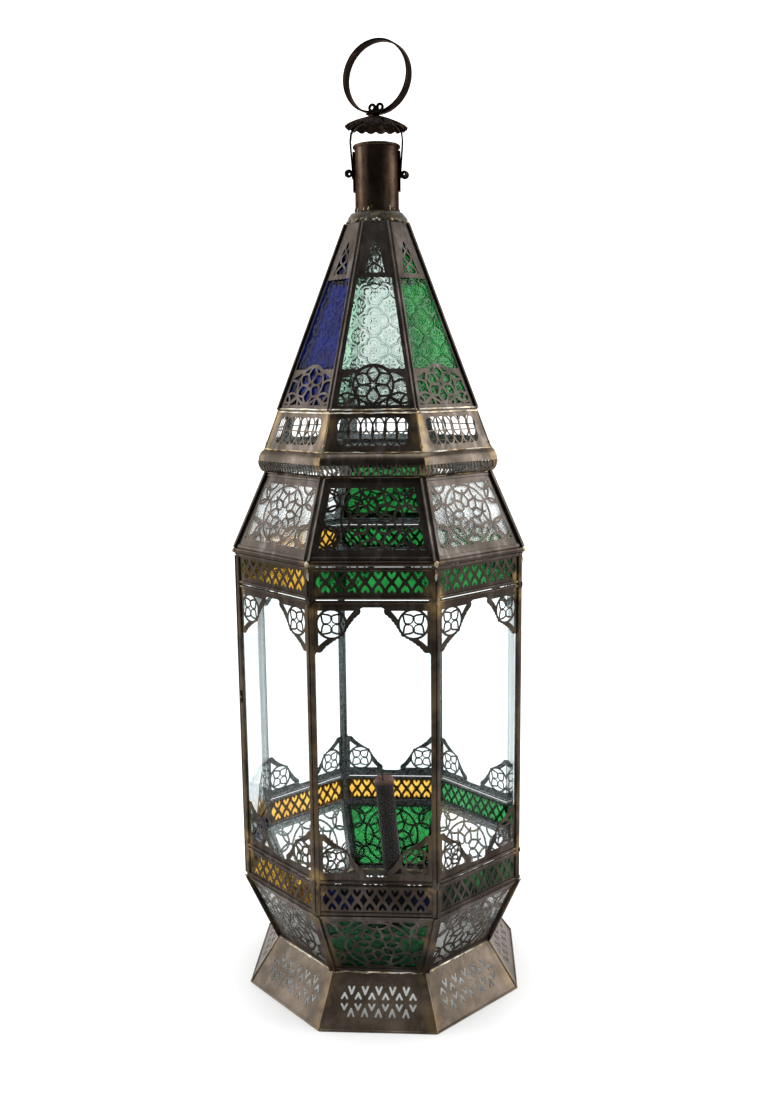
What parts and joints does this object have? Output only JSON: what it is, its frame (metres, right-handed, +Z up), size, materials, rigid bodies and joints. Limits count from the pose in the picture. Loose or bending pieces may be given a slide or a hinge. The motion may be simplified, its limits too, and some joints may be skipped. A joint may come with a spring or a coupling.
{
  "type": "moroccan metal lantern",
  "caption": "Tall octagonal candle lantern of pierced dark metal and coloured glass, with a side door, a chimney under a small cap, a bail and a ring to hang it by.",
  "frame": {"origin": "middle of the base, at the height of the rim that the lantern stands on", "axes": "+Z up along the lantern, -Y out of the front face, -X out of the door"},
  "size_m": [0.2777, 0.2772, 0.9277],
  "materials": {
    "dark_tin": "dark antiqued tin plate, oxidised brown with worn grey and brassy edges",
    "solder": "dull brassy solder over dark tin",
    "wire": "blackened steel wire",
    "clear_glass": "clear glass with a faint green tint and a pressed pattern",
    "green_glass": "pressed green glass",
    "amber_glass": "pressed amber glass",
    "blue_glass": "pressed cobalt blue glass",
    "wax": "dark maroon candle wax",
    "wick": "burnt cotton"
  },
  "bodies": {
    "lantern": {"plinth": "dark_tin", "candle_strap": "dark_tin", "candle_dish": "dark_tin", "lower_taper": "dark_tin", "lower_taper_glass": "clear_glass", "front_frame": "dark_tin", "front_lower_pane": "blue_glass", "front_main_pane": "clear_glass", "front_upper_pane": "green_glass", "front_right_frame": "dark_tin", "front_right_lower_pane": "green_glass", "front_right_main_pane": "clear_glass", "front_right_upper_pane": "green_glass", "right_frame": "dark_tin", "right_lower_pane": "amber_glass", "right_main_pane": "clear_glass", "right_upper_pane": "amber_glass", "back_right_frame": "dark_tin", "back_right_lower_pane": "green_glass", "back_right_main_pane": "clear_glass", "back_right_upper_pane": "green_glass", "back_frame": "dark_tin", "back_lower_pane": "amber_glass", "back_main_pane": "clear_glass", "back_upper_pane": "green_glass", "back_left_frame": "dark_tin", "back_left_lower_pane": "amber_glass", "back_left_main_pane": "clear_glass", "back_left_upper_pane": "amber_glass", "front_left_frame": "dark_tin", "front_left_lower_pane": "amber_glass", "front_left_main_pane": "clear_glass", "front_left_upper_pane": "amber_glass", "frame_hinge_leaf": "dark_tin", "door_hinge_pin": "wire", "latch_rivet": "wire", "eave_channel": "dark_tin", "shoulder": "dark_tin", "shoulder_glass": "clear_glass", "bead": "dark_tin", "gallery": "dark_tin", "spire": "dark_tin", "spire_glass": "clear_glass", "collar": "solder", "chimney": "dark_tin", "left_pivot_pin": "wire", "right_pivot_pin": "wire"},
    "door": {"door_frame": "dark_tin", "door_lower_pane": "blue_glass", "door_main_pane": "clear_glass", "door_upper_pane": "green_glass", "door_hinge_leaf": "dark_tin"},
    "latch": {"latch_button": "dark_tin"},
    "bail": {"bail": "dark_tin", "cap": "dark_tin"},
    "ring": {"hanging_ring": "dark_tin", "swivel_pin": "wire"},
    "candle": {"candle": "wax", "wick": "wick"}
  },
  "joints": [
    {"name": "door_hinge", "type": "hinge", "parent": "lantern", "child": "door", "pos_m": [-0.13673, 0.05424, 0.3155], "axis": [0, 0, -1], "range_deg": [-0.8, 95]},
    {"name": "latch_turn", "type": "hinge", "parent": "lantern", "child": "latch", "pos_m": [-0.13447, -0.0589, 0.307], "axis": [-0.7071, -0.7071, 0], "range_deg": [0, 90]},
    {"name": "bail_swing", "type": "hinge", "parent": "lantern", "child": "bail", "pos_m": [0, 0, 0.8058], "axis": [1, 0, 0], "range_deg": [-100, 100]},
    {"name": "ring_swivel", "type": "hinge", "parent": "bail", "child": "ring", "pos_m": [0, 0, 0.86], "axis": [0, 0, 1], "continuous": true},
    {"name": "candle_lift", "type": "slide", "parent": "lantern", "child": "candle", "axis": [-0.0872, 0, 0.9962], "range_m": [0, 0.06]}
  ]
}
